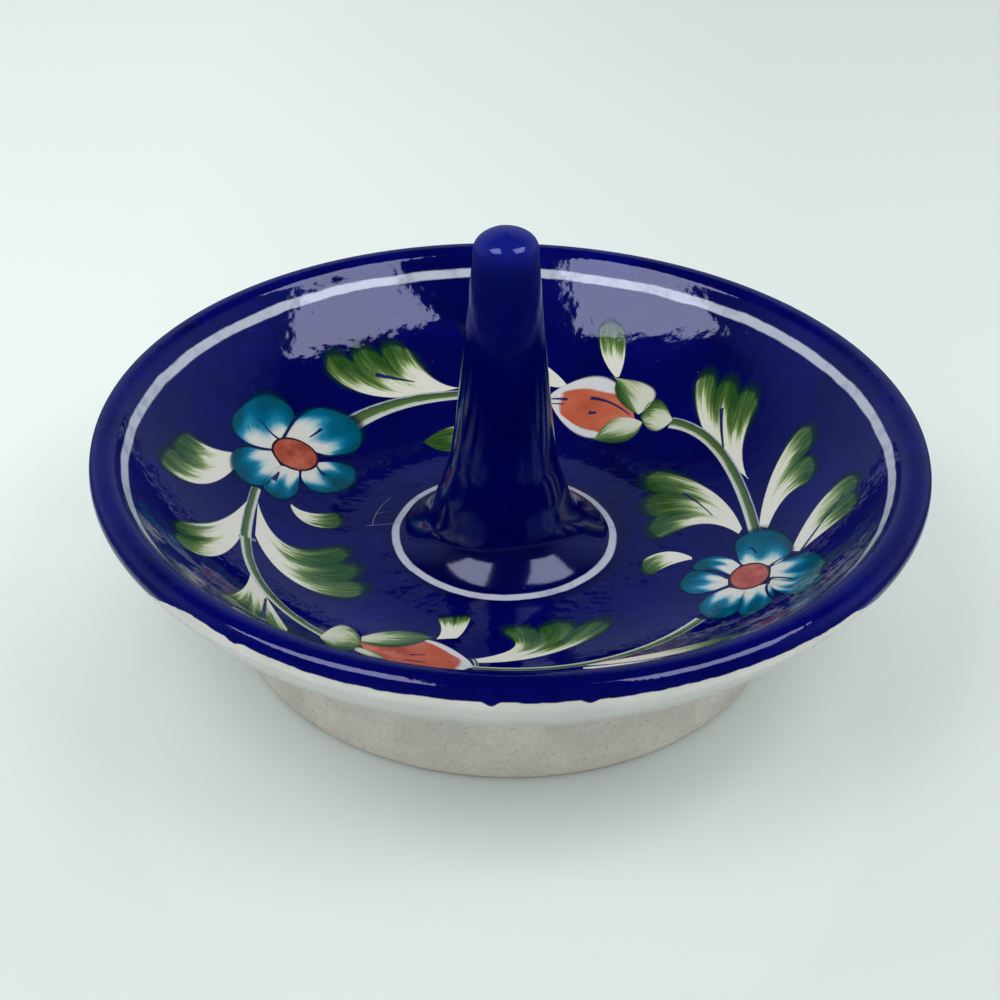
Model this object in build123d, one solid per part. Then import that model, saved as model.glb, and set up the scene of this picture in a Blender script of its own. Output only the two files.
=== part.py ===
"""Ring dish: a round glazed dish on a foot ring, with a tapering post in the middle that rings are dropped over.

Three pieces of white quartz dough, each formed by itself and then luted together with slip before firing:
the dish is pressed over a mould, the foot ring is bent from a strip, and the post is rolled by hand.
The origin is the centre of the foot's underside. +Z is up, and the whole object is turned about Z.
"""
from build123d import *
import math
import os

# Dish: an even wall that runs flat across the middle, then sweeps up in one round curve to a rolled lip.
rim_radius = 51.0
rim_height = 27.5
floor_height = 11.5
dish_wall = 4.2
bowl_curve_radius = 34.2

# Foot ring: a plain band under the dish, a little wider where it stands.
foot_radius = 33.6
foot_top_radius = 33.1
foot_wall = 5.2
foot_edge = 0.7

# Post: a slim taper that spreads into a wide flared base, sunk by a hair into a seat in the dish's floor.
post_height = 42.1
tip_radius = 3.65
tip_crown_rise = 1.3
tip_edge_radius = 1.9
middle_radius = 4.95
root_radius = 6.5
knee_radius = 7.95
base_radius = 15.2
seat_depth = 0.5
seat_gap = 0.1

# Heights on the post, as shares of its height above the floor, where its radius is named above.
middle_height_share = 0.61
root_height_share = 0.295
knee_height_share = 0.176

# Worked out from the sizes above.
underside_height = floor_height - dish_wall
outer_curve_radius = bowl_curve_radius + dish_wall
lip_radius = dish_wall / 2
lip_centre_radius = rim_radius - lip_radius
lip_centre_height = rim_height - lip_radius
curve_centre_height = floor_height + bowl_curve_radius
mid_wall_radius = bowl_curve_radius + lip_radius
lip_drop = curve_centre_height - lip_centre_height
curve_centre_radius = lip_centre_radius - math.sqrt(mid_wall_radius**2 - lip_drop**2)
lip_angle = math.degrees(math.atan2(lip_centre_radius - curve_centre_radius, lip_drop))
seat_radius = base_radius + seat_gap
seat_height = floor_height - seat_depth
quarter_turn = 90
half_turn = 180


def lathe(section):
    """Turn a section, drawn to the right of the axis, into a solid about Z."""
    return revolve(Plane.XZ * section, Axis.Z)


def curve_edge(radius):
    """One of the dish's two parallel curves, from the flat floor out to the lip."""
    return CenterArc((curve_centre_radius, curve_centre_height), radius, -quarter_turn, lip_angle)


def box_section(inner_radius, outer_radius, low, high):
    """Rectangle between two radii and two heights."""
    corners = [(inner_radius, low), (outer_radius, low), (outer_radius, high), (inner_radius, high)]
    return make_face(Polyline(*corners, close=True))


def under_dish():
    """Everything that lies above the dish's underside, which trims the foot ring to sit against it."""
    outer = curve_edge(outer_curve_radius)
    underside_line = Line((0, underside_height), outer @ 0)
    axis_line = Line((0, underside_height), (0, curve_centre_height))
    top_line = Line((0, curve_centre_height), ((outer @ 1).X, curve_centre_height))
    side_line = Line(top_line @ 1, outer @ 1)
    return make_face([axis_line, underside_line, outer, side_line, top_line])


def dish():
    """Flat floor, round sweep and full round lip, with the shallow seat for the post."""
    inner = curve_edge(bowl_curve_radius)
    outer = curve_edge(outer_curve_radius)
    lip_centre = (lip_centre_radius, lip_centre_height)
    lip = CenterArc(lip_centre, lip_radius, lip_angle - quarter_turn, half_turn)
    floor_line = Line((0, floor_height), inner @ 0)
    underside_line = Line((0, underside_height), outer @ 0)
    axis_line = Line((0, underside_height), (0, floor_height))
    section = make_face([axis_line, floor_line, inner, lip, outer, underside_line])
    seat = box_section(0, seat_radius, seat_height, curve_centre_height)
    return lathe(section - seat)


def foot_ring():
    """Band from the table up to the underside of the dish, its two standing edges wiped back."""
    outer_foot = (foot_radius, 0)
    outer_top = (foot_top_radius, floor_height)
    inner_top = (foot_top_radius - foot_wall, floor_height)
    inner_foot = (foot_radius - foot_wall, 0)
    blank = make_face(Polyline(inner_foot, outer_foot, outer_top, inner_top, close=True))
    blank = chamfer(blank.vertices().group_by(Axis.Y)[0], foot_edge)
    return lathe(blank - under_dish())


def ring_post():
    """Domed tip, slim taper and flared base that runs out flush with the dish's floor."""
    top = floor_height + post_height
    shoulder = (tip_radius, top - tip_crown_rise)
    middle = (middle_radius, floor_height + middle_height_share * post_height)
    root = (root_radius, floor_height + root_height_share * post_height)
    knee = (knee_radius, floor_height + knee_height_share * post_height)
    base = (base_radius, floor_height)
    shaft = ThreePointArc(root, middle, shoulder)
    flare = Spline(base, knee, root, tangents=[(-1, 0), shaft % 0])
    crown = TangentArc((0, top), shoulder, tangent=(1, 0))
    base_edge = Line((base_radius, seat_height), base)
    bed = Line((0, seat_height), (base_radius, seat_height))
    axis_line = Line((0, seat_height), (0, top))
    section = make_face([axis_line, crown, shaft, flare, base_edge, bed])
    shoulder_corner = section.vertices().sort_by_distance(Vector(*shoulder))[0]
    section = fillet(shoulder_corner, tip_edge_radius)
    return lathe(section)


os.makedirs("parts", exist_ok=True)
export_step(dish(), "parts/dish.step")
export_step(foot_ring(), "parts/foot_ring.step")
export_step(ring_post(), "parts/ring_post.step")
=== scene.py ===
"""Looks of the ring dish: cobalt ground, white lines and a painted wreath under a clear, glossy glaze.

The clay shapes are turned again with smooth surfaces, in the same frame and at the same size as the solids.
The painting lies on them as thin films. Sizes are in metres. The photograph looks along +Y.
"""

import math

import bmesh
import bpy
from mathutils import Matrix, Vector
from mathutils.geometry import interpolate_bezier


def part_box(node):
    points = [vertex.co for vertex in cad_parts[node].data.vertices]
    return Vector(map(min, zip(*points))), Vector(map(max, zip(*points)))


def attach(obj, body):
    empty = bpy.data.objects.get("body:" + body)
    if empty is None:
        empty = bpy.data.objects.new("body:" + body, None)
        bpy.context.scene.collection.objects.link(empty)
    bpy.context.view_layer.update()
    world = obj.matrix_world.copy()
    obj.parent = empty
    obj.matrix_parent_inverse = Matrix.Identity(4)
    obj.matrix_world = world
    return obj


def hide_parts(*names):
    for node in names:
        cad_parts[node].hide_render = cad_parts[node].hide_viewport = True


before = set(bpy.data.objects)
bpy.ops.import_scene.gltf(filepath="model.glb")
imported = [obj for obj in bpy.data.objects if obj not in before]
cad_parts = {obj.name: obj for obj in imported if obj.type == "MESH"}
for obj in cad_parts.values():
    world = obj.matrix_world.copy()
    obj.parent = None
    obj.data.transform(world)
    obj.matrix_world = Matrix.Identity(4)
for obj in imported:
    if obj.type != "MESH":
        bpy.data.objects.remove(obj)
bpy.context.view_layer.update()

# Camera. It stands in front of the dish and looks down on it at about 34 degrees, through a long lens.
# It is turned by a little over one degree about its line of sight, because the photograph was taken by hand.
camera_place = (0, -0.213, 0.1574)
camera_pitch = math.radians(34.33)
camera_roll = math.radians(1.3)
focal_length = 73.8
sensor_width = 36
camera_data = bpy.data.cameras.new("camera")
camera_data.sensor_width = sensor_width
camera_data.lens = focal_length
camera_data.shift_x = -0.0068
camera_data.shift_y = 0.0317
camera_data.clip_start = 0.01
camera = bpy.data.objects.new("camera", camera_data)
camera.matrix_world = (
    Matrix.Translation(camera_place)
    @ Matrix.Rotation(math.pi / 2 - camera_pitch, 4, "X")
    @ Matrix.Rotation(camera_roll, 4, "Z")
)
bpy.context.scene.collection.objects.link(camera)
bpy.context.scene.camera = camera
bpy.context.scene.view_settings.view_transform = "Standard"


# Table. A pale, glossy board under the dish, in which the dish is faintly mirrored. It is a little whiter
# at the back than at the front, and glows a little away from the dish. Mirrored in the glaze it is pale
# near the dish and dark further off, as the photograph shows it.
def finish_named(name):
    """A new material with its nodes, links and main shader."""
    material = bpy.data.materials.new(name)
    material.use_nodes = True
    tree = material.node_tree
    return material, tree, tree.nodes["Principled BSDF"]


def coordinates(tree):
    """Object coordinates of the piece, in metres."""
    return tree.nodes.new("ShaderNodeTexCoord").outputs["Object"]


def axis_of(tree, vector, axis):
    """One axis of a vector."""
    parts = tree.nodes.new("ShaderNodeSeparateXYZ")
    tree.links.new(vector, parts.inputs[0])
    return parts.outputs[axis]


def shade(tree, value, stops):
    """Colour ramp through (place, colour) stops."""
    ramp = tree.nodes.new("ShaderNodeValToRGB")
    elements = ramp.color_ramp.elements
    while len(elements) < len(stops):
        elements.new(0.5)
    for element, (place, colour) in zip(elements, stops):
        element.position = place
        element.color = (*colour, 1)
    tree.links.new(value, ramp.inputs["Fac"])
    return ramp.outputs["Color"]


def measure(tree, value, low, high, to_low=0.0, to_high=1.0, smooth=False):
    """Map a value from one range to another, held at both ends."""
    node = tree.nodes.new("ShaderNodeMapRange")
    node.interpolation_type = "SMOOTHSTEP" if smooth else "LINEAR"
    tree.links.new(value, node.inputs["Value"])
    for socket, number in (("From Min", low), ("From Max", high), ("To Min", to_low), ("To Max", to_high)):
        node.inputs[socket].default_value = number
    return node.outputs["Result"]


def maths(tree, operation, *values):
    """One operation on values that are sockets or numbers, repeated along the list."""
    result = values[0]
    for value in values[1:] or (None,):
        node = tree.nodes.new("ShaderNodeMath")
        node.operation = operation
        for slot, part in zip(node.inputs, (result, value)):
            if isinstance(part, bpy.types.NodeSocket):
                tree.links.new(part, slot)
            elif part is not None:
                slot.default_value = part
        result = node.outputs[0]
    return result


def blended(tree, share, first, second):
    """Mix two colours, each a socket or a plain colour, by a share that is a socket or a number."""
    node = tree.nodes.new("ShaderNodeMix")
    node.data_type = "RGBA"
    for socket, value in (("Factor", share), ("A", first), ("B", second)):
        if isinstance(value, bpy.types.NodeSocket):
            tree.links.new(value, node.inputs[socket])
        else:
            node.inputs[socket].default_value = value if socket == "Factor" else (*value, 1)
    return node.outputs["Result"]


def plan_distance(tree, centre=(0, 0)):
    """Distance in the plan from a centre."""
    flat = tree.nodes.new("ShaderNodeVectorMath")
    flat.operation = "MULTIPLY_ADD"
    flat.inputs[1].default_value = (1, 1, 0)
    flat.inputs[2].default_value = (-centre[0], -centre[1], 0)
    tree.links.new(coordinates(tree), flat.inputs[0])
    length = tree.nodes.new("ShaderNodeVectorMath")
    length.operation = "LENGTH"
    tree.links.new(flat.outputs[0], length.inputs[0])
    return length.outputs["Value"]


board_half = 2.5
board_front = (0.635, 0.695, 0.69)
board_back = (0.725, 0.795, 0.76)
board_mirrored = (0.02, 0.03, 0.08)
board_glow = (0.93, 1.0, 0.96)
board_roughness = 0.14
board = bmesh.new()
bmesh.ops.create_grid(board, x_segments=1, y_segments=1, size=board_half)
board_mesh = bpy.data.meshes.new("table")
board.to_mesh(board_mesh)
table = bpy.data.objects.new("table", board_mesh)
bpy.context.scene.collection.objects.link(table)
board_finish, tree, shader = finish_named("table_board")
seen = tree.nodes.new("ShaderNodeLightPath").outputs
sideways = axis_of(tree, coordinates(tree), "X")
away = axis_of(tree, coordinates(tree), "Y")
board_colour = shade(tree, measure(tree, away, -0.12, 0.25), [(0, board_front), (1, board_back)])
by_dish = measure(tree, plan_distance(tree), 0.065, 0.088, 1, 0, True)
mirrored_colour = blended(tree, by_dish, board_mirrored, board_front)
seen_colour = blended(tree, seen["Is Glossy Ray"], board_colour, mirrored_colour)
tree.links.new(seen_colour, shader.inputs["Base Color"])
shader.inputs["Roughness"].default_value = board_roughness
shader.inputs["Emission Color"].default_value = (*board_glow, 1)
far_glow = measure(tree, plan_distance(tree), 0.030, 0.062, 0, 1, True)
left_glow = measure(tree, sideways, -0.06, 0.05, 0.24, 0.12)
back_glow = measure(tree, away, -0.05, 0.01, 0.25, 1)
glow = maths(tree, "MULTIPLY", far_glow, left_glow, back_glow, seen["Is Camera Ray"])
tree.links.new(glow, shader.inputs["Emission Strength"])
table.data.materials.append(board_finish)

# Light. Two soft boxes hang over the dish, one to each side, with a dark gap between them over the post.
# The room fills the shadows. Glossy surfaces see it pale near the horizon and dark overhead.
# Each box has its place in the plan, its two sides, its turn in degrees and its brightness.
box_height = 0.40
soft_boxes = {
    "soft_box_right": ((0.300, -0.110), (0.285, 0.29), 40, 3.55),
    "soft_box_left": ((-0.254, -0.188), (0.31, 0.30), -5, 3.65),
}
for name, (place, size, turn, brightness) in soft_boxes.items():
    lamp = bpy.data.lights.new(name, "AREA")
    lamp.shape = "RECTANGLE"
    lamp.size, lamp.size_y = size
    lamp.energy = brightness * math.pi * size[0] * size[1]
    holder = bpy.data.objects.new(name, lamp)
    holder.location = (*place, box_height)
    holder.rotation_euler = (0, 0, math.radians(turn))
    bpy.context.scene.collection.objects.link(holder)

room_dark = (0.01, 0.01, 0.02)
room_fill = [(0.0, (1.71, 1.74, 1.72)), (1.0, (0.08, 0.08, 0.08))]
room_glow = [
    (0.0, (0.20, 0.23, 0.32)), (0.34, (0.18, 0.22, 0.34)),
    (0.60, (0.12, 0.15, 0.24)), (0.74, room_dark),
]
room = bpy.data.worlds.new("room")
bpy.context.scene.world = room
room.use_nodes = True
tree = room.node_tree
direction = tree.nodes.new("ShaderNodeTexCoord").outputs["Generated"]
upward = axis_of(tree, direction, "Z")
behind = measure(tree, axis_of(tree, direction, "Y"), -0.45, 0.1)
gap = measure(tree, maths(tree, "ABSOLUTE", axis_of(tree, direction, "X")), 0.038, 0.050, 1, 0)
gap = maths(tree, "MULTIPLY", gap, measure(tree, upward, 0.586, 0.596))
mirrored = blended(tree, gap, blended(tree, behind, room_dark, shade(tree, upward, room_glow)), room_dark)
glossy = tree.nodes.new("ShaderNodeLightPath").outputs["Is Glossy Ray"]
room_light = blended(tree, glossy, shade(tree, upward, room_fill), mirrored)
tree.links.new(room_light, tree.nodes["Background"].inputs["Color"])

# Foot ring. A band of the bare, sandy quartz body, bent from a strip and luted under the dish.
# It was wiped with a sponge, so its standing edges are soft, and small specks and pits show in it.
def arc_points(centre, radius, start, end, count):
    """Points along a round stretch of an outline, angles in degrees from +X."""
    angles = [math.radians(start + (end - start) * step / count) for step in range(count + 1)]
    return [(centre[0] + radius * math.cos(angle), centre[1] + radius * math.sin(angle)) for angle in angles]


def turned(name, outline, steps=360, sharp=40):
    """Turn an outline of (radius, height) points about Z into one closed, smooth body."""
    body = bmesh.new()
    points = [body.verts.new((radius, 0, height)) for radius, height in outline]
    pairs = zip(points, points[1:] + points[:1])
    edges = [body.edges.new((a, b)) for a, b in pairs if a.co.x > 0 or b.co.x > 0]
    bmesh.ops.spin(body, geom=points + edges, axis=(0, 0, 1), angle=2 * math.pi, steps=steps, use_merge=True)
    bmesh.ops.remove_doubles(body, verts=body.verts, dist=1e-7)
    bmesh.ops.recalc_face_normals(body, faces=body.faces)
    for face in body.faces:
        face.smooth = True
    for edge in body.edges:
        if len(edge.link_faces) == 2 and edge.calc_face_angle() > math.radians(sharp):
            edge.smooth = False
    mesh = bpy.data.meshes.new(name)
    body.to_mesh(mesh)
    piece = bpy.data.objects.new(name, mesh)
    bpy.context.scene.collection.objects.link(piece)
    return piece


def noise(tree, vector, size, detail=4, roughness=0.55, distortion=0.0):
    """Cloudy variation with features of about the given size, from 0 to 1."""
    node = tree.nodes.new("ShaderNodeTexNoise")
    tree.links.new(vector, node.inputs["Vector"])
    node.inputs["Scale"].default_value = 1 / size
    node.inputs["Detail"].default_value = detail
    node.inputs["Roughness"].default_value = roughness
    node.inputs["Distortion"].default_value = distortion
    return node.outputs["Fac"]


def specks(tree, size, low, high):
    """Small round spots, one to a cell of the given size: 0 in a spot and 1 outside it."""
    cells = tree.nodes.new("ShaderNodeTexVoronoi")
    tree.links.new(coordinates(tree), cells.inputs["Vector"])
    cells.inputs["Scale"].default_value = 1 / size
    return measure(tree, cells.outputs["Distance"], low, high)


def raised(tree, shader, height, depth, below=None):
    """Add a bump of the given depth to the shader, over another one if there is one."""
    node = tree.nodes.new("ShaderNodeBump")
    node.inputs["Distance"].default_value = depth
    tree.links.new(height, node.inputs["Height"])
    if below:
        tree.links.new(below, node.inputs["Normal"])
    tree.links.new(node.outputs[0], shader.inputs["Normal"])
    return node.outputs[0]


dish_low, dish_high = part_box("dish")
foot_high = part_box("foot_ring")[1]
underside_height = dish_low.z
foot_radius = foot_high.x
foot_taper = 0.0005
foot_top_radius = foot_radius - foot_taper
foot_wall = 0.0052
foot_edge = 0.0009
inner_overlap = 0.0010
outer_overlap = 0.0035
foot_inner = foot_radius - foot_wall
foot_outline = [(foot_top_radius - foot_wall, underside_height + inner_overlap), (foot_inner, 2 * foot_edge)]
foot_outline += arc_points((foot_inner + foot_edge, foot_edge), foot_edge, 180, 270, 6)
foot_outline += arc_points((foot_radius - foot_edge, foot_edge), foot_edge, 270, 360, 6)
foot_outline += [(foot_top_radius, underside_height + outer_overlap)]
foot = turned("bare_foot_ring", foot_outline)
foot_finish, tree, shader = finish_named("bare_body")
place = coordinates(tree)
body_colour = shade(tree, noise(tree, place, 0.007), [(0.3, (0.47, 0.455, 0.41)), (0.7, (0.60, 0.59, 0.54))])
grit = measure(tree, noise(tree, place, 0.0005, 3), 0.35, 0.75, 0, 0.35)
body_colour = blended(tree, grit, body_colour, (0.30, 0.28, 0.24))
# Darker and browner, in patches, over the lowest 2.5 mm towards the standing edge.
darker_by_standing_edge = measure(tree, axis_of(tree, place, "Z"), 0.0, 0.0025, 0.5, 0)
darker_by_standing_edge = maths(tree, "MULTIPLY", darker_by_standing_edge, noise(tree, place, 0.004))
body_colour = blended(tree, darker_by_standing_edge, body_colour, (0.33, 0.24, 0.15))
small_specks = maths(tree, "MULTIPLY", specks(tree, 0.0011, 0.04, 0.16), specks(tree, 0.0027, 0.02, 0.06))
body_colour = blended(tree, measure(tree, small_specks, 0, 1, 0.4, 0), body_colour, (0.22, 0.20, 0.17))
tree.links.new(body_colour, shader.inputs["Base Color"])
shader.inputs["Roughness"].default_value = 0.85
sandy = raised(tree, shader, noise(tree, place, 0.0007, 5), 0.00012)
raised(tree, shader, small_specks, 0.00008, sandy)
foot.data.materials.append(foot_finish)
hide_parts("foot_ring")
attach(foot, "root")

# Dish. Quartz dough pressed over a mould, its lip rolled round and pressed in by a hair on the left.
# The cobalt ground is brushed over the inside and the lip, and ends in an uneven edge with a few runs
# just under the lip. Below it the glaze is plain white.
def bent(start, start_handle, end_handle, end, count):
    """Points along a smooth stretch of an outline between two handles."""
    corners = [Vector((a, b, 0)) for a, b in (start, start_handle, end_handle, end)]
    return [(point.x, point.y) for point in interpolate_bezier(*corners, count)]


post_low, post_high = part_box("ring_post")
seat_radius = post_high.x
seat_height = post_low.z
dish_wall = 0.0042
rim_radius = dish_high.x
rim_height = dish_high.z
floor_height = underside_height + dish_wall
bowl_curve = 0.0342
outer_curve = bowl_curve + dish_wall
lip_radius = dish_wall / 2
lip_centre = (rim_radius - lip_radius, rim_height - lip_radius)
lip_top_handle = (0.05035, rim_height)
lip_side_handle = (rim_radius, 0.02685)
curve_height = floor_height + bowl_curve
curve_start = lip_centre[0] - math.sqrt((bowl_curve + lip_radius) ** 2 - (curve_height - lip_centre[1]) ** 2)
lip_angle = math.degrees(math.atan2(lip_centre[0] - curve_start, curve_height - lip_centre[1]))
dish_outline = [(0, underside_height), (0, seat_height)]
dish_outline += [(seat_radius, seat_height), (seat_radius, floor_height)]
dish_outline += arc_points((curve_start, curve_height), bowl_curve, -90, lip_angle - 90, 44)
dish_outline += arc_points(lip_centre, lip_radius, lip_angle + 90, 90, 8)[1:]
lip_top, lip_side = (lip_centre[0], rim_height), (rim_radius, lip_centre[1])
dish_outline += bent(lip_top, lip_top_handle, lip_side_handle, lip_side, 20)[1:]
dish_outline += arc_points(lip_centre, lip_radius, 0, lip_angle - 90, 8)[1:]
dish_outline += arc_points((curve_start, curve_height), outer_curve, lip_angle - 90, -90, 36)[1:]
dish = turned("glazed_dish", dish_outline)
outside = dish.data.attributes.new("outside", "FLOAT", "POINT")
for point, flag in zip(dish.data.vertices, outside.data):
    beyond = math.hypot(max(math.hypot(point.co.x, point.co.y) - curve_start, 0), curve_height - point.co.z)
    flag.value = 1.0 if beyond > bowl_curve + lip_radius else 0.0
left_press = 0.00055
press_from = 0.0472
press_width = 0.0038
for point in dish.data.vertices:
    if point.co.x < 0:
        radius = math.hypot(point.co.x, point.co.y)
        outward = min(max((radius - press_from) / press_width, 0), 1)
        point.co.x += left_press * outward * (point.co.x / radius) ** 2


def own(tree, name):
    """A number that the piece's mesh carries."""
    node = tree.nodes.new("ShaderNodeAttribute")
    node.attribute_name = name
    return node.outputs["Fac"]


def cobalt(tree, ground=(0.0005, 0.0008, 0.062), thin=(0.0012, 0.0022, 0.125)):
    """Colour of the brushed cobalt ground, lighter where the brush ran thin."""
    wash = noise(tree, coordinates(tree), 0.011, 5, 0.6, 0.4)
    return shade(tree, wash, [(0.35, ground), (0.75, thin)])


lead_glass_ior = 1.7
clear_shine = (0.67, 0.71, 1.0)


def glaze(tree, shader, softness=0.055, relief=1.0, shine=clear_shine):
    """Clear lead glaze over the colours: faint swells, orange peel, a few pinholes and a bluish shine."""
    place = coordinates(tree)
    swell = raised(tree, shader, noise(tree, place, 0.0035, 2), 0.00009 * relief)
    peel = raised(tree, shader, noise(tree, place, 0.0011, 3), 0.000016 * relief, swell)
    raised(tree, shader, specks(tree, 0.0022, 0.02, 0.06), 0.00002, peel)
    shader.inputs["Roughness"].default_value = softness
    shader.inputs["IOR"].default_value = lead_glass_ior
    shader.inputs["Specular Tint"].default_value = (*shine, 1)


cobalt_finish, tree, shader = finish_named("cobalt_glaze")
place = coordinates(tree)
sideways = axis_of(tree, place, "X")
edge_height = measure(tree, sideways, -0.036, -0.018, 0.02640, 0.02572)
from_middle = maths(tree, "ABSOLUTE", maths(tree, "SUBTRACT", sideways, 0.0018))
side_drop = measure(tree, from_middle, 0.0350, 0.0435, 0, 0.0023, True)
edge_height = maths(tree, "SUBTRACT", edge_height, side_drop)
wander = measure(tree, noise(tree, place, 0.0025, 3), 0.25, 0.75, -0.00014, 0.00014)
run_width = 0.0011
runs = []
for run_place, run_depth in ((-0.0012, 0.00045), (0.0089, 0.0003), (-0.0285, 0.00025)):
    apart = maths(tree, "ABSOLUTE", maths(tree, "SUBTRACT", sideways, run_place))
    runs.append(measure(tree, apart, 0.0, run_width, run_depth, 0, True))
edge_height = maths(tree, "SUBTRACT", maths(tree, "ADD", edge_height, wander), maths(tree, "ADD", *runs))
above_edge = maths(tree, "SUBTRACT", axis_of(tree, place, "Z"), edge_height)
below_edge = measure(tree, above_edge, -0.00008, 0.00005, 1, 0)
white_share = maths(tree, "MULTIPLY", own(tree, "outside"), below_edge)
whites = [(0.3, (0.54, 0.545, 0.50)), (0.7, (0.635, 0.64, 0.595))]
white_cloud = shade(tree, noise(tree, place, 0.006), whites)
tree.links.new(blended(tree, white_share, cobalt(tree), white_cloud), shader.inputs["Base Color"])
glaze(tree, shader)
dish.data.materials.append(cobalt_finish)
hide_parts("dish")
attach(dish, "root")

# Post. Rolled by hand to a slim taper, domed at the tip, and smeared out at its foot into a wide flare
# that is level with the floor of the dish. It leans a little to the left, and its tip slants that way.
# It has the same cobalt ground, laid on a little thicker, and thin over the tip; its upper part is painted a
# lighter blue, a painted sheen.
post_height = post_high.z
base_radius = post_high.x
flare_foot = (0.0123, 0.01215)
flare_middle = (0.0100, 0.01408)
flare_knee = (0.00795, 0.01891)
shaft_root = (0.0065, 0.02392)
shaft_end = (0.00385, 0.05130)
flare_outline = bent((base_radius, floor_height), (0.0139, floor_height), (0.01306, 0.01167), flare_foot, 16)
flare_outline += bent(flare_foot, (0.01145, 0.01268), (0.01067, 0.01334), flare_middle, 14)[1:]
flare_outline += bent(flare_middle, (0.00886, 0.01534), (0.00849, 0.01719), flare_knee, 18)[1:]
flare_outline += bent(flare_knee, (0.00747, 0.02044), (0.00665, 0.02233), shaft_root, 12)[1:]
shaft_outline = bent(shaft_root, (0.0058, 0.0285), (0.0043, 0.0446), shaft_end, 30)[1:]
crown_outline = bent(shaft_end, (0.00374, 0.0525), (0.0030, 0.05345), (0, post_height), 18)[1:]
post_outline = [(0, seat_height), (base_radius, seat_height)] + flare_outline + shaft_outline + crown_outline
post = turned("glazed_post", post_outline)
post_lean = 0.008
root_shift = 0.00050
root_reach = 0.006
tip_slant = 0.10
tip_start = 0.0500
tip_span = 0.0036
slant_edge = -0.0008
for point in post.data.vertices:
    above = point.co.z - floor_height
    share = min(max(above / root_reach, 0), 1)
    tip_share = min(max((point.co.z - tip_start) / tip_span, 0), 1)
    point.co.z += tip_slant * tip_share * min(point.co.x - slant_edge, 0)
    point.co.x -= root_shift * share**2 * (3 - 2 * share) + post_lean * max(above, 0)
post_finish, tree, shader = finish_named("post_glaze")
height = axis_of(tree, coordinates(tree), "Z")
thin_tip = measure(tree, height, 0.0490, 0.0530, 0, 1, True)
post_ground = cobalt(tree, (0.0003, 0.0004, 0.043), (0.0006, 0.0011, 0.088))
# Painted sheen: above about 41 mm the blue is painted lighter, a painted reflection of the pale table in the
# upper post.
painted_upper_sheen = measure(tree, height, 0.0405, 0.0425, 0, 0.8, True)
post_ground = blended(tree, painted_upper_sheen, post_ground, (0.0008, 0.0028, 0.085))
tree.links.new(blended(tree, thin_tip, post_ground, (0.006, 0.010, 0.185)), shader.inputs["Base Color"])
glaze(tree, shader, 0.11, 0.3)
shaft_shine = (0.12, 0.17, 0.55)
tip_shine = (0.55, 0.60, 1.0)
shines = [(0, clear_shine), (0.04, shaft_shine), (0.9, shaft_shine), (1, tip_shine)]
tree.links.new(shade(tree, measure(tree, height, 0.0150, 0.0500), shines), shader.inputs["Specular Tint"])
post.data.materials.append(post_finish)
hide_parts("ring_post")
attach(post, "root")

# White lines. Two rings are drawn with a loaded brush while the dish turns on a wheel: one high on the wall,
# one round the flare of the post. Both are films a few hundredths of a millimetre thick with wavering edges.
film_sink = 0.00005
line_rise = 0.00002
line_margin = 0.0006
line_soft = 0.00007


def bowl_height(x, y):
    """Height of the inner surface of the dish above a place in the plan."""
    out = min(max(math.hypot(x, y) - curve_start, 0), bowl_curve * 0.98)
    return curve_height - math.sqrt(bowl_curve**2 - out**2)


def flare_height(x, y):
    """Height of the flare of the post above a place in the plan."""
    radius = math.hypot(x, y)
    spans = zip(flare_outline, flare_outline[1:])
    lower, upper = next(span for span in spans if span[1][0] <= radius <= span[0][0])
    share = (radius - lower[0]) / (upper[0] - lower[0])
    return lower[1] + share * (upper[1] - lower[1])


for name, inner, outer, off_centre, height_at in (
    ("white_line_wall", 0.04586, 0.04664, (0.0, -0.0004), bowl_height),
    ("white_line_flare", 0.01322, 0.01412, (-0.0003, 0.0), flare_height),
):
    low, high = inner - line_margin, outer + line_margin
    radii = [low + (high - low) * step / 10 for step in range(11)]
    top = [(radius, height_at(radius, 0) + line_rise) for radius in radii]
    line = turned(name, [(radius, height - film_sink - line_rise) for radius, height in top] + top[::-1])
    line_finish, tree, shader = finish_named(name)
    waver = measure(tree, noise(tree, coordinates(tree), 0.006, 3), 0.25, 0.75, -0.00010, 0.00010)
    radius = maths(tree, "ADD", plan_distance(tree, off_centre), waver)
    inside = measure(tree, radius, inner - line_soft, inner + line_soft)
    beyond = measure(tree, radius, outer - line_soft, outer + line_soft, 1, 0)
    thin = measure(tree, noise(tree, coordinates(tree), 0.0022, 5), 0.28, 0.5, 0.86, 1)
    tree.links.new(maths(tree, "MULTIPLY", inside, beyond, thin), shader.inputs["Alpha"])
    white = shade(tree, thin, [(0.86, (0.37, 0.40, 0.54)), (1.0, (0.47, 0.50, 0.61))])
    tree.links.new(white, shader.inputs["Base Color"])
    glaze(tree, shader)
    line.data.materials.append(line_finish)
    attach(line, "root")

# Leaves. Each is a fan of brush strokes, loaded with white slip at the base and drawn out over a green oxide
# at the tips, where the green runs past the white and stains the blue round it. Places are in the plan.
mm = 0.001


def curve_place(points, share):
    """Place on a brushed edge through its start and end, pulled towards its bend."""
    weights = ((1 - share) ** 2, 2 * share * (1 - share), share**2)
    return [sum(weight * point[axis] for weight, point in zip(weights, points)) * mm for axis in (0, 1)]


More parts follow.
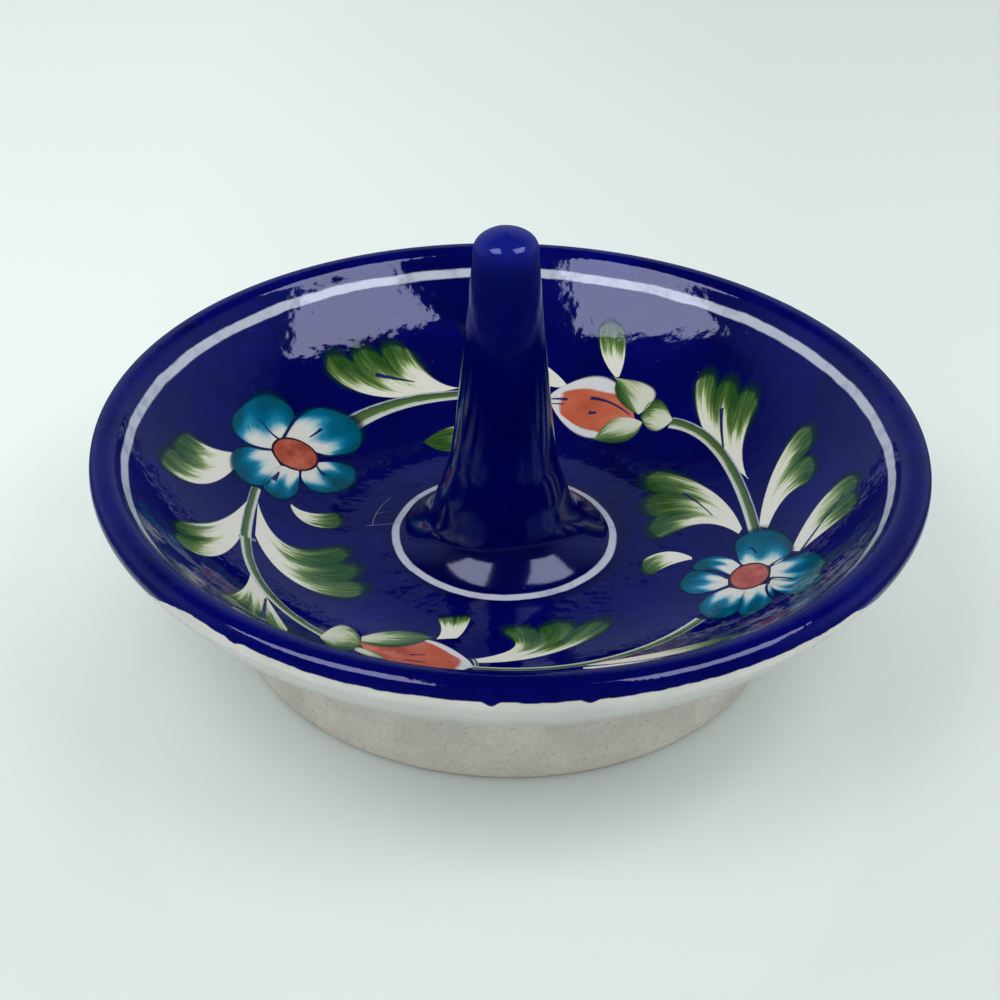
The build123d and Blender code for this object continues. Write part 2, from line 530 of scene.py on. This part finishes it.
def brush_mark(
    film, left_edge, right_edge, lobes=1, rounding=0.2, past_end=0.12, past_side=0.12, **character
):
    """One mark between two brushed edges, as a grid bent onto the bowl. Its own UV runs along and across it.

    The end is rounded, or divided into rounded lobes. The grid runs on past the mark, for what bleeds out.
    Its character is the seed of its brush hairs, its skew to one side, and its load of colour.
    """
    strokes = film.loops.layers.uv.get("strokes") or film.loops.layers.uv.new("strokes")
    floats = film.verts.layers.float
    layers = {key: floats.get(key) or floats.new(key) for key in ("seed", "skew", "load", "lobe")}
    points = bmesh.ops.create_grid(film, x_segments=26, y_segments=36, size=0.5)["verts"]
    for face in {face for point in points for face in point.link_faces}:
        for corner in face.loops:
            along, across = corner.vert.co.x + 0.5, corner.vert.co.y + 0.5
            corner[strokes].uv = (along * (1 + past_end), across * (1 + 2 * past_side) - past_side)
    for point in points:
        along = (point.co.x + 0.5) * (1 + past_end)
        across = (point.co.y + 0.5) * (1 + 2 * past_side) - past_side
        held = min(max(across, 0), 1)
        in_lobe = held * lobes - min(int(held * lobes), lobes - 1)
        bulge = 0.2 * lobes * held * (1 - held) / 3
        reach = 1 + bulge - rounding * (1 - math.sqrt(1 - (2 * in_lobe - 1) ** 2))
        left, right = curve_place(left_edge, along * reach), curve_place(right_edge, along * reach)
        x, y = (left[axis] + (right[axis] - left[axis]) * across for axis in (0, 1))
        point.co = (x, y, bowl_height(x, y) - film_sink)
        point[layers["lobe"]] = across * lobes
        for key, value in character.items():
            point[layers[key]] = value


def film_piece(film, name, rise, material):
    """Give the marks their thickness and make them one closed piece of paint."""
    lifted = bmesh.ops.extrude_face_region(film, geom=film.faces[:])["geom"]
    tops = [part for part in lifted if isinstance(part, bmesh.types.BMVert)]
    bmesh.ops.translate(film, verts=tops, vec=(0, 0, film_sink + rise))
    bmesh.ops.recalc_face_normals(film, faces=film.faces)
    for face in film.faces:
        face.smooth = True
    for edge in film.edges:
        if len(edge.link_faces) == 2 and edge.calc_face_angle() > math.radians(40):
            edge.smooth = False
    mesh = bpy.data.meshes.new(name)
    film.to_mesh(mesh)
    piece = bpy.data.objects.new(name, mesh)
    bpy.context.scene.collection.objects.link(piece)
    piece.data.materials.append(material)
    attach(piece, "root")


# Each has its two edges, its lobes, how deep the notches are, which way it is greener, and how green it is.
leaves = {
    "back_left": (
        ((-9.5, 30.5), (-22.0, 25.0), (-26.0, 30.5)), ((-7.0, 31.5), (-11.0, 31.5), (-14.5, 36.5)),
        3, 0.15, -0.06, 0.02,
    ),
    "far_left": (
        ((-34.5, 10.5), (-38.0, 8.0), (-41.0, 8.5)), ((-34.5, 8.5), (-37.5, -2.5), (-43.0, -0.5)),
        2, 0.06, -0.14, 0.05,
    ),
    "left_low": (
        ((-32.5, 3.0), (-35.0, -6.5), (-39.5, -10.0)), ((-32.5, -6.0), (-34.0, -17.5), (-38.5, -16.0)),
        2, 0.10, -0.08, 0.0,
    ),
    "left_small": (
        ((-27.5, 4.0), (-25.5, 2.0), (-21.5, 4.0)), ((-27.5, 3.5), (-26.0, -1.0), (-21.0, 0.5)),
        1, 0.10, 0.05, 0.02,
    ),
    "left_big": (
        ((-31.5, 2.5), (-28.0, -9.5), (-21.0, -3.0)), ((-31.0, -5.0), (-26.5, -17.0), (-17.0, -14.5)),
        3, 0.12, -0.20, 0.10,
    ),
    "left_rim": (
        ((-30.5, -13.5), (-30.0, -20.0), (-32.5, -25.5)), ((-30.5, -14.0), (-28.0, -18.5), (-24.0, -29.0)),
        3, 0.08, -0.28, -0.06,
    ),
    "front_small": (
        ((-8.0, -22.5), (-7.0, -20.5), (-8.0, -18.0)), ((-5.5, -22.0), (-4.5, -20.5), (-4.0, -17.5)),
        2, 0.06, 0.0, -0.10,
    ),
    "front_big": (
        ((-3.5, -27.0), (4.5, -23.5), (-1.0, -20.0)), ((-3.5, -28.0), (6.0, -27.5), (13.5, -18.0)),
        3, 0.14, -0.12, 0.08,
    ),
    "front_blade": (
        ((9.5, -28.5), (19.5, -26.5), (26.5, -27.0)), ((9.5, -29.0), (19.5, -29.5), (26.5, -28.5)),
        1, 0.10, 0.0, 0.0,
    ),
    "front_low_blade": (
        ((9.0, -29.5), (15.5, -29.0), (21.5, -30.0)), ((9.0, -30.0), (15.0, -31.5), (21.5, -30.5)),
        1, 0.10, 0.0, 0.0,
    ),
    "right_big": (
        ((31.0, 10.0), (23.5, 22.0), (25.5, 30.0)), ((31.0, 9.5), (29.5, 17.0), (33.5, 22.5)),
        3, 0.12, 0.22, -0.02,
    ),
    "right_upper": (
        ((31.5, -0.5), (33.5, 13.0), (39.0, 15.5)), ((32.5, -1.5), (35.0, 6.0), (38.5, 4.0)),
        2, 0.20, 0.18, 0.02,
    ),
    "right_outer": (
        ((34.5, -8.5), (38.5, 2.5), (43.0, 1.0)), ((35.5, -9.5), (39.0, -7.0), (42.0, -6.5)),
        2, 0.12, 0.20, 0.08,
    ),
    "right_inner": (
        ((29.5, 0.0), (28.0, 12.0), (18.5, 15.5)), ((29.0, -1.0), (25.0, 6.0), (18.5, -1.0)),
        3, 0.13, 0.06, 0.04,
    ),
    "right_small": (
        ((23.0, -4.5), (20.0, -1.0), (16.5, -5.5)), ((23.0, -5.0), (20.0, -5.5), (17.5, -8.5)),
        1, 0.14, 0.24, -0.02,
    ),
    "bud_small": (
        ((14.5, 32.5), (11.5, 36.5), (12.5, 40.0)), ((15.0, 32.5), (16.5, 35.5), (15.5, 39.0)),
        1, 0.14, 0.05, 0.10,
    ),
    "post_left": (
        ((-2.5, 23.5), (-7.0, 27.5), (-11.5, 21.0)), ((-2.5, 23.0), (-7.0, 17.0), (-11.0, 20.5)),
        1, 0.05, 0.0, 0.26,
    ),
    "post_back": (
        ((8.0, 32.0), (5.0, 31.0), (-5.5, 38.0)), ((8.0, 32.0), (5.0, 37.0), (-5.0, 40.0)),
        3, 0.16, 0.0, 0.12,
    ),
}
leaf_film = bmesh.new()
for number, (left_edge, right_edge, lobes, notch, lean, green) in enumerate(leaves.values()):
    brush_mark(leaf_film, left_edge, right_edge, lobes, notch, seed=number * 3.7, skew=lean, load=green)


def stroke_places(tree):
    """Place along a mark, place across it, and how far that is from its nearer side, from its own UV map."""
    node = tree.nodes.new("ShaderNodeUVMap")
    node.uv_map = "strokes"
    along, across = axis_of(tree, node.outputs[0], "X"), axis_of(tree, node.outputs[0], "Y")
    return along, across, maths(tree, "MINIMUM", across, maths(tree, "SUBTRACT", 1.0, across))


def hairs(tree, along, across, fine, spread, coarse=2.5, detail=3):
    """Streaks left by brush hairs that run along a mark, between plus and minus the given spread."""
    vector = tree.nodes.new("ShaderNodeCombineXYZ")
    tree.links.new(maths(tree, "MULTIPLY", along, coarse), vector.inputs["X"])
    tree.links.new(maths(tree, "MULTIPLY", across, fine), vector.inputs["Y"])
    tree.links.new(own(tree, "seed"), vector.inputs["Z"])
    return measure(tree, noise(tree, vector.outputs[0], 1.0, detail), 0.27, 0.73, -spread, spread)


leaf_slip = [
    (0.50, (0.70, 0.71, 0.63)), (0.62, (0.55, 0.61, 0.42)), (0.71, (0.20, 0.29, 0.10)),
    (0.82, (0.065, 0.130, 0.030)), (1.0, (0.018, 0.070, 0.012)),
]
leaf_finish, tree, shader = finish_named("painted_leaves")
along, across, from_side = stroke_places(tree)
off_middle = maths(tree, "FRACT", own(tree, "lobe"))
off_middle = maths(tree, "ABSOLUTE", maths(tree, "SUBTRACT", maths(tree, "MULTIPLY", off_middle, 2.0), 1.0))
margin = measure(tree, from_side, 0.01, 0.17, 1, 0)
creased = maths(tree, "MULTIPLY", off_middle, maths(tree, "SUBTRACT", 1.0, margin))
lean = maths(tree, "MULTIPLY", own(tree, "skew"), maths(tree, "SUBTRACT", across, 0.5))
fine_hairs = hairs(tree, along, across, 34, 0.12)
broad_hairs = hairs(tree, along, across, 9, 0.13, detail=2)
fill = maths(
    tree, "ADD", along, own(tree, "load"), lean, maths(tree, "MULTIPLY", creased, 0.12),
    maths(tree, "MULTIPLY", margin, -0.17), fine_hairs, broad_hairs,
)
leaf_colour = shade(tree, fill, leaf_slip)
mottle = measure(tree, hairs(tree, along, across, 14, 1.0, 3, 2), 0.0, 0.9, 0, 0.45)
mottle = maths(tree, "MULTIPLY", mottle, measure(tree, fill, 0.68, 0.80))
leaf_colour = blended(tree, mottle, leaf_colour, (0.13, 0.22, 0.08))
crease = measure(tree, creased, 0.70, 0.97)
crease = maths(tree, "MULTIPLY", crease, measure(tree, along, 0.68, 0.88, 0, 0.65))
leaf_colour = blended(tree, crease, leaf_colour, (0.012, 0.050, 0.016))
end = measure(tree, maths(tree, "ADD", along, hairs(tree, along, across, 34, 0.02)), 0.975, 1.01, 1, 0, True)
body = maths(tree, "MULTIPLY", measure(tree, from_side, -0.005, 0.035), end)
stain = maths(
    tree, "MULTIPLY", measure(tree, along, 0.5, 0.85, 0, 0.8, True),
    measure(tree, from_side, -0.09, 0.02, 0, 1, True), measure(tree, along, 0.99, 1.10, 1, 0, True),
)
tree.links.new(blended(tree, body, (0.006, 0.030, 0.026), leaf_colour), shader.inputs["Base Color"])
tree.links.new(maths(tree, "MAXIMUM", body, stain), shader.inputs["Alpha"])
glaze(tree, shader)
film_piece(leaf_film, "painted_leaves", rise=0.00002, material=leaf_finish)

# Stems. Long double strokes of white with a green core, edged on one side by a fine line of cobalt.
# Each is given by its start, its bend, its end and its width at both ends.
stems = {
    "left_upper": ((-32.0, -6.5), (-32.5, -2.0), (-32.0, 5.0), 1.4, 1.2),
    "left_lower": ((-32.0, -6.0), (-30.5, -18.5), (-20.5, -26.0), 1.3, 1.5),
    "back_left": ((-21.0, 22.5), (-15.5, 29.0), (-6.0, 30.5), 2.5, 1.4),
    "behind_post": ((-6.0, 30.5), (0.0, 31.0), (6.5, 29.5), 1.4, 1.0),
    "right": ((21.7, 23.6), (30.0, 20.0), (31.0, -2.0), 1.8, 1.5),
    "front": ((23.0, -19.5), (12.5, -31.0), (-3.5, -29.5), 1.5, 0.9),
    "joint": ((-32.8, -6.5), (-31.8, -6.0), (-30.8, -6.0), 0.5, 0.5),
    "front_tie": ((-3.5, -27.0), (-2.9, -28.2), (-3.2, -30.0), 0.5, 0.5),
}


def ribbon_edges(start, bend, end, start_width, end_width):
    """The two edges of a stroke of a given width along a curve."""
    edges = ([], [])
    middle_width = (start_width + end_width) / 2
    stops = (
        (start, start, bend, start_width),
        (bend, start, end, middle_width),
        (end, bend, end, end_width),
    )
    for point, behind, ahead, width in stops:
        run = Vector(ahead) - Vector(behind)
        sideways = Vector((-run.y, run.x)).normalized() * width / 2
        edges[0].append(tuple(Vector(point) + sideways))
        edges[1].append(tuple(Vector(point) - sideways))
    return edges


stem_film = bmesh.new()
for number, stem in enumerate(stems.values()):
    left_edge, right_edge = ribbon_edges(*stem)
    brush_mark(stem_film, left_edge, right_edge, rounding=0, past_end=0, past_side=0.08, seed=number * 2.3)
stem_bands = [
    (0.0, (0.34, 0.38, 0.46)), (0.08, (0.42, 0.46, 0.50)), (0.12, (0.020, 0.040, 0.10)),
    (0.18, (0.045, 0.095, 0.030)), (0.64, (0.085, 0.155, 0.050)), (0.72, (0.42, 0.48, 0.38)),
    (1.0, (0.60, 0.64, 0.63)),
]
stem_finish, tree, shader = finish_named("painted_stems")
along, across, from_side = stroke_places(tree)
wavered = maths(tree, "ADD", across, hairs(tree, along, across, 3, 0.05, 9))
tree.links.new(shade(tree, wavered, stem_bands), shader.inputs["Base Color"])
tree.links.new(measure(tree, from_side, -0.03, 0.06), shader.inputs["Alpha"])
glaze(tree, shader)
film_piece(stem_film, "painted_stems", rise=0.00003, material=stem_finish)

# Flowers. Two open blooms, of five and seven petals, in a turquoise that was laid on from the edge of each
# petal and pulled in over white in two tongues, so that white is left by the heart.
left_petals = (
    (((-30.7, 13.6), (-38.1, 10.2), (-35.5, 19.5)), ((-29.7, 16.1), (-27.5, 19.3), (-29.6, 23.8))),
    (((-29.4, 16.5), (-28.7, 22.4), (-23.1, 25.1)), ((-24.8, 15.5), (-21.5, 15.0), (-18.2, 20.2))),
    (((-25.0, 13.6), (-21.5, 15.8), (-18.8, 12.7)), ((-26.8, 11.3), (-27.4, 7.9), (-22.5, 6.9))),
    (((-27.2, 11.4), (-26.7, 8.4), (-27.2, 4.7)), ((-29.6, 11.0), (-32.0, 7.0), (-31.0, 4.4))),
    (((-29.2, 10.5), (-30.2, 8.0), (-32.1, 4.1)), ((-31.0, 13.2), (-34.6, 12.9), (-36.4, 8.2))),
)
right_petals = (
    (((28.8, -8.0), (27.7, -5.0), (29.1, 0.1)), ((32.0, -10.2), (34.9, -11.3), (35.3, -3.8))),
    (((32.0, -10.6), (35.2, -9.4), (37.6, -11.3)), ((31.6, -13.2), (33.5, -17.7), (37.0, -19.1))),
    (((31.7, -13.7), (33.7, -17.1), (37.0, -16.7)), ((31.3, -15.0), (32.2, -20.7), (35.5, -23.0))),
    (((31.2, -14.6), (32.6, -18.2), (29.6, -22.5)), ((28.6, -14.1), (27.7, -17.6), (26.7, -21.3))),
    (((28.7, -14.5), (27.7, -17.9), (26.9, -21.5)), ((26.9, -12.9), (22.9, -13.5), (22.5, -18.8))),
    (((26.8, -12.2), (23.6, -13.8), (21.2, -12.6)), ((26.9, -10.8), (24.0, -6.1), (21.3, -8.6))),
    (((27.2, -9.8), (25.2, -6.9), (22.7, -8.1)), ((28.6, -8.1), (27.2, -4.0), (23.5, -5.2))),
)
petal_film = bmesh.new()
for number, (left_edge, right_edge) in enumerate(left_petals + right_petals):
    lean = 0.25 * math.sin(number * 2.1)
    more = 0.07 if number >= len(left_petals) else 0.0
    brush_mark(
        petal_film, left_edge, right_edge, rounding=0.35, past_end=0.10, past_side=0.07,
        seed=number * 5.1, skew=lean, load=more,
    )
turquoise = [
    (0.28, (0.64, 0.66, 0.62)), (0.40, (0.36, 0.53, 0.58)), (0.52, (0.02, 0.23, 0.37)),
    (0.66, (0.0, 0.125, 0.235)), (0.95, (0.0, 0.075, 0.130)),
]
petal_finish, tree, shader = finish_named("painted_petals")
along, across, from_side = stroke_places(tree)
lean = maths(tree, "MULTIPLY", own(tree, "skew"), maths(tree, "SUBTRACT", across, 0.5))
tongues = maths(tree, "MULTIPLY", maths(tree, "COSINE", maths(tree, "MULTIPLY", across, 4 * math.pi)), 0.11)
fill = maths(
    tree, "ADD", along, own(tree, "load"), lean, tongues, hairs(tree, along, across, 22, 0.05, 2),
    hairs(tree, along, across, 3, 0.07, 2, 1),
)
petal_colour = shade(tree, fill, turquoise)
teal = measure(tree, hairs(tree, along, across, 2.2, 1.0, 2, 1), -0.1, 0.7)
teal = maths(tree, "MULTIPLY", teal, measure(tree, fill, 0.5, 0.8))
petal_colour = blended(tree, maths(tree, "MULTIPLY", teal, 0.8), petal_colour, (0.003, 0.058, 0.080))
outline = measure(tree, from_side, 0.012, 0.03, 1, 0)
outline = maths(tree, "MULTIPLY", outline, measure(tree, along, 0.5, 0.7, 0.8, 0))
petal_colour = blended(tree, outline, petal_colour, (0.008, 0.012, 0.09))
body = maths(
    tree, "MULTIPLY", measure(tree, from_side, -0.02, 0.03, 0, 1, True),
    measure(tree, along, 0.96, 1.02, 1, 0, True),
)
stain = maths(
    tree, "MULTIPLY", measure(tree, along, 0.4, 0.8, 0, 0.75),
    measure(tree, from_side, -0.07, 0.0, 0, 1, True), measure(tree, along, 0.98, 1.10, 1, 0, True),
)
tree.links.new(blended(tree, body, (0.001, 0.018, 0.045), petal_colour), shader.inputs["Base Color"])
tree.links.new(maths(tree, "MAXIMUM", body, stain), shader.inputs["Alpha"])
glaze(tree, shader, shine=(0.25, 0.60, 0.95))
film_piece(petal_film, "painted_petals", rise=0.00004, material=petal_finish)

# Hearts of the flowers. A disc of iron-red slip with a brown outline.
# The slip was dabbed on, so it is a little uneven.
hearts = {"left": ((-27.9, 13.9), 3.05, 2.95, 0.0), "right": ((29.4, -11.4), 2.45, 3.2, 5.0)}
heart_film = bmesh.new()
strokes = heart_film.loops.layers.uv.new("strokes")
for (x, y), half_x, half_y, turn in hearts.values():
    disc = bmesh.ops.create_circle(heart_film, cap_ends=True, cap_tris=True, segments=64, radius=1)["verts"]
    for face in {face for point in disc for face in point.link_faces}:
        for corner in face.loops:
            corner[strokes].uv = (corner.vert.co.x, corner.vert.co.y)
    for point in disc:
        place = ((x + point.co.x * half_x) * mm, (y + point.co.y * half_y) * mm)
        point.co = (*place, bowl_height(*place) - film_sink)
heart_finish, tree, shader = finish_named("painted_hearts")
node = tree.nodes.new("ShaderNodeUVMap")
node.uv_map = "strokes"
span = tree.nodes.new("ShaderNodeVectorMath")
span.operation = "LENGTH"
tree.links.new(node.outputs[0], span.inputs[0])
mottle = noise(tree, coordinates(tree), 0.0022, 4)
reds = [(0.3, (0.26, 0.050, 0.028)), (0.5, (0.40, 0.085, 0.050)), (0.72, (0.50, 0.16, 0.10))]
red = shade(tree, mottle, reds)
out = maths(tree, "ADD", span.outputs["Value"], measure(tree, mottle, 0.3, 0.7, -0.04, 0.04))
ringed = blended(tree, measure(tree, out, 0.86, 0.92), red, (0.030, 0.010, 0.020))
tree.links.new(ringed, shader.inputs["Base Color"])
glaze(tree, shader)
film_piece(heart_film, "painted_hearts", rise=0.00005, material=heart_finish)

# Buds. A closed flower of the same iron red, laid on in one stroke inside a white border that widens towards
# its tip. Each has its two edges, the share of that border on its lower side, and where it starts to widen.
buds = {
    "front": (
        ((-16.5, -25.5), (-8.5, -18.5), (-3.5, -28.5)), ((-16.5, -26.5), (-11.0, -36.5), (-4.0, -30.0)),
        0.1, 0.45,
    ),
    "back": (
        ((17.0, 25.5), (15.0, 37.0), (5.5, 31.0)), ((17.0, 25.5), (10.0, 18.0), (5.5, 29.5)),
        0.7, 0.05,
    ),
}
bud_film = bmesh.new()
for number, (left_edge, right_edge, below, start) in enumerate(buds.values()):
    brush_mark(
        bud_film, left_edge, right_edge, rounding=0.06, past_end=0.03, past_side=0.03,
        seed=number * 4.3, skew=below, load=start,
    )
bud_finish, tree, shader = finish_named("painted_buds")
along, across, from_side = stroke_places(tree)
waver = hairs(tree, along, across, 8, 0.015, 5)
border = measure(tree, maths(tree, "SUBTRACT", along, own(tree, "load")), 0.0, 0.4, 0.01, 0.19)
above = maths(tree, "SUBTRACT", maths(tree, "ADD", across, waver), border)
below = maths(tree, "ADD", maths(tree, "SUBTRACT", 1.0, across), waver)
below = maths(tree, "SUBTRACT", below, maths(tree, "MULTIPLY", border, own(tree, "skew")))
flesh = maths(
    tree, "MULTIPLY", measure(tree, above, -0.015, 0.015), measure(tree, below, -0.015, 0.015),
    measure(tree, maths(tree, "ADD", along, waver), 0.86, 0.90, 1, 0),
)
reds = [(0.3, (0.38, 0.075, 0.040)), (0.55, (0.50, 0.115, 0.060)), (0.75, (0.56, 0.17, 0.10))]
red = shade(tree, noise(tree, coordinates(tree), 0.004, 4), reds)
tree.links.new(blended(tree, flesh, (0.62, 0.64, 0.66), red), shader.inputs["Base Color"])
bud_side = measure(tree, from_side, -0.02, 0.02)
bud_end = measure(tree, along, 0.99, 1.02, 1, 0)
tree.links.new(maths(tree, "MULTIPLY", bud_side, bud_end), shader.inputs["Alpha"])
glaze(tree, shader)
film_piece(bud_film, "painted_buds", rise=0.00004, material=bud_finish)

# Sepals. Two pointed strokes clasp each bud, and a rounded cup holds it to the stem. All are green towards
# one side and white towards the other. Each has its two edges, which way it is greener, and how green it is.
sepals = {
    "front_cup": (
        ((-21.0, -26.5), (-19.5, -19.0), (-16.5, -24.0)), ((-21.0, -27.0), (-19.5, -31.0), (-17.0, -29.0)),
        0.5, 0.10,
    ),
    "front_upper": (
        ((-16.5, -24.0), (-13.0, -20.0), (-8.5, -22.0)), ((-16.5, -25.5), (-13.0, -27.0), (-8.5, -22.5)),
        0.4, 0.32,
    ),
    "front_lower": (
        ((-17.0, -27.5), (-15.0, -27.5), (-13.5, -29.5)), ((-17.0, -28.5), (-15.5, -30.5), (-13.5, -30.0)),
        0.2, 0.08,
    ),
    "back_upper": (
        ((17.5, 26.0), (23.0, 29.5), (14.5, 32.5)), ((17.5, 26.0), (14.0, 29.0), (14.5, 32.0)),
        0.8, 0.12,
    ),
    "back_lower": (
        ((17.5, 25.0), (14.0, 27.5), (11.5, 22.5)), ((18.0, 24.5), (16.5, 20.0), (11.5, 22.0)),
        0.5, 0.16,
    ),
    "back_cup": (
        ((22.0, 24.0), (20.5, 30.0), (18.0, 26.5)), ((22.0, 24.0), (19.5, 21.5), (18.0, 24.5)),
        -0.6, 0.14,
    ),
}
sepal_film = bmesh.new()
for number, (left_edge, right_edge, lean, green) in enumerate(sepals.values()):
    brush_mark(
        sepal_film, left_edge, right_edge, rounding=0.15, past_end=0.1, past_side=0.1,
        seed=number * 6.1, skew=lean, load=green,
    )
sepal_slip = [
    (0.24, (0.60, 0.63, 0.52)), (0.40, (0.42, 0.49, 0.30)), (0.52, (0.12, 0.21, 0.07)),
    (0.75, (0.045, 0.105, 0.030)), (1.0, (0.020, 0.065, 0.020)),
]
sepal_finish, tree, shader = finish_named("painted_sepals")
along, across, from_side = stroke_places(tree)
lean = maths(tree, "MULTIPLY", own(tree, "skew"), maths(tree, "SUBTRACT", across, 0.5))
middle = measure(tree, from_side, 0.02, 0.3, 0.14, -0.12)
reached = maths(tree, "MULTIPLY", along, 0.62)
fill = maths(tree, "ADD", reached, own(tree, "load"), lean, middle, hairs(tree, along, across, 18, 0.14, 3))
tree.links.new(shade(tree, fill, sepal_slip), shader.inputs["Base Color"])
sepal_end = measure(tree, along, 0.95, 1.08, 1, 0, True)
sepal_side = measure(tree, from_side, -0.08, 0.03, 0, 1, True)
tree.links.new(maths(tree, "MULTIPLY", sepal_side, sepal_end), shader.inputs["Alpha"])
glaze(tree, shader)
film_piece(sepal_film, "painted_sepals", rise=0.00005, material=sepal_finish)

# Fine lines. Veins, outlines and ticks are drawn last with the tip of a liner in dark blue.
# A few pale scuffs on the floor of the dish are thin strokes too. The last number tells the two apart.
fine_lines = {
    "back_left_vein": ((-18.5, 31.1), (-16.0, 31.3), (-13.2, 31.4), 0.55, 0.15, 0),
    "right_big_vein": ((28.4, 23.5), (28.1, 20.5), (28.3, 17.0), 0.45, 0.2, 0),
    "left_rim_vein": ((-28.0, -19.8), (-27.8, -22.5), (-27.5, -26.5), 0.25, 0.5, 0),
    "right_outer_vein": ((41.3, -2.0), (38.8, -4.1), (35.2, -10.0), 0.15, 0.3, 0),
    "right_inner_vein": ((22.7, 9.6), (24.5, 7.7), (26.1, 4.1), 0.35, 0.1, 0),
    "bud_crease": ((11.1, 29.8), (14.0, 29.2), (16.3, 26.2), 0.45, 0.15, 0),
    "bud_dot": ((10.8, 27.4), (11.3, 27.2), (11.8, 27.3), 0.5, 0.3, 0),
    "bud_tip_upper": ((5.7, 30.1), (6.8, 30.1), (7.9, 29.9), 0.2, 0.4, 0),
    "bud_tip_lower": ((5.7, 29.3), (6.6, 29.3), (7.4, 29.1), 0.15, 0.2, 0),
    "front_bud_tick": ((-10.8, -27.3), (-9.9, -26.9), (-9.0, -26.9), 0.25, 0.2, 0),
    "front_bud_line": ((-11.4, -29.2), (-10.1, -28.9), (-9.0, -29.2), 0.2, 0.25, 0),
    "left_petal_vein": ((-30.1, 15.7), (-31.2, 15.9), (-32.9, 17.7), 0.35, 0.15, 0),
    "left_petal_gap": ((-29.7, 16.2), (-29.1, 18.2), (-28.4, 20.5), 0.3, 0.35, 0),
    "left_petal_line": ((-31.0, 13.3), (-32.6, 12.3), (-34.2, 12.3), 0.35, 0.3, 0),
    "top_petal_vein": ((-26.4, 17.9), (-25.6, 18.9), (-25.0, 20.0), 0.15, 0.4, 0),
    "top_petal_gap": ((-24.7, 15.0), (-23.0, 15.5), (-21.8, 16.3), 0.35, 0.2, 0),
    "low_petal_vein": ((-25.1, 13.1), (-24.7, 11.9), (-23.8, 11.5), 0.2, 0.45, 0),
    "small_petal_tick": ((-29.6, 9.7), (-29.8, 8.6), (-30.1, 7.8), 0.2, 0.7, 0),
    "left_heart_dab": ((-26.6, 12.0), (-25.9, 12.4), (-25.4, 13.2), 0.5, 0.9, 0),
    "right_petal_tick": ((30.0, -4.6), (30.4, -5.0), (30.7, -6.4), 0.3, 0.2, 0),
    "right_petal_gap": ((32.0, -10.2), (33.5, -8.9), (35.8, -9.7), 0.35, 0.15, 0),
    "right_petal_line": ((31.7, -13.4), (32.7, -14.0), (33.8, -15.8), 0.3, 0.2, 0),
    "right_petal_loop": ((31.8, -13.6), (30.3, -15.1), (31.2, -19.3), 0.3, 0.3, 0),
    "right_heart_line": ((26.8, -10.7), (25.9, -8.8), (24.7, -7.8), 0.2, 0.3, 0),
    "scuff_long": ((-17.7, 1.2), (-15.2, 1.6), (-13.6, 2.0), 0.10, 0.06, 1),
    "scuff_bent": ((-17.0, 1.5), (-16.9, 5.1), (-15.1, 7.7), 0.10, 0.05, 1),
    "scuff_small": ((-16.6, 3.9), (-15.9, 4.6), (-15.0, 4.4), 0.07, 0.05, 1),
}
line_film = bmesh.new()
for number, (*stroke, pale) in enumerate(fine_lines.values()):
    left_edge, right_edge = ribbon_edges(*stroke)
    brush_mark(
        line_film, left_edge, right_edge, rounding=0, past_end=0, past_side=0.3,
        seed=number * 1.9, skew=pale,
    )
line_finish, tree, shader = finish_named("fine_lines")
along, across, from_side = stroke_places(tree)
pale = own(tree, "skew")
inks = [(0.3, (0.006, 0.010, 0.06)), (0.7, (0.012, 0.025, 0.13))]
ink = shade(tree, noise(tree, coordinates(tree), 0.004), inks)
tree.links.new(blended(tree, pale, ink, (0.35, 0.38, 0.48)), shader.inputs["Base Color"])
cover = maths(tree, "MULTIPLY", measure(tree, from_side, -0.25, 0.2), measure(tree, pale, 0, 1, 1, 0.5))
tree.links.new(cover, shader.inputs["Alpha"])
glaze(tree, shader)
film_piece(line_film, "fine_lines", rise=0.00006, material=line_finish)
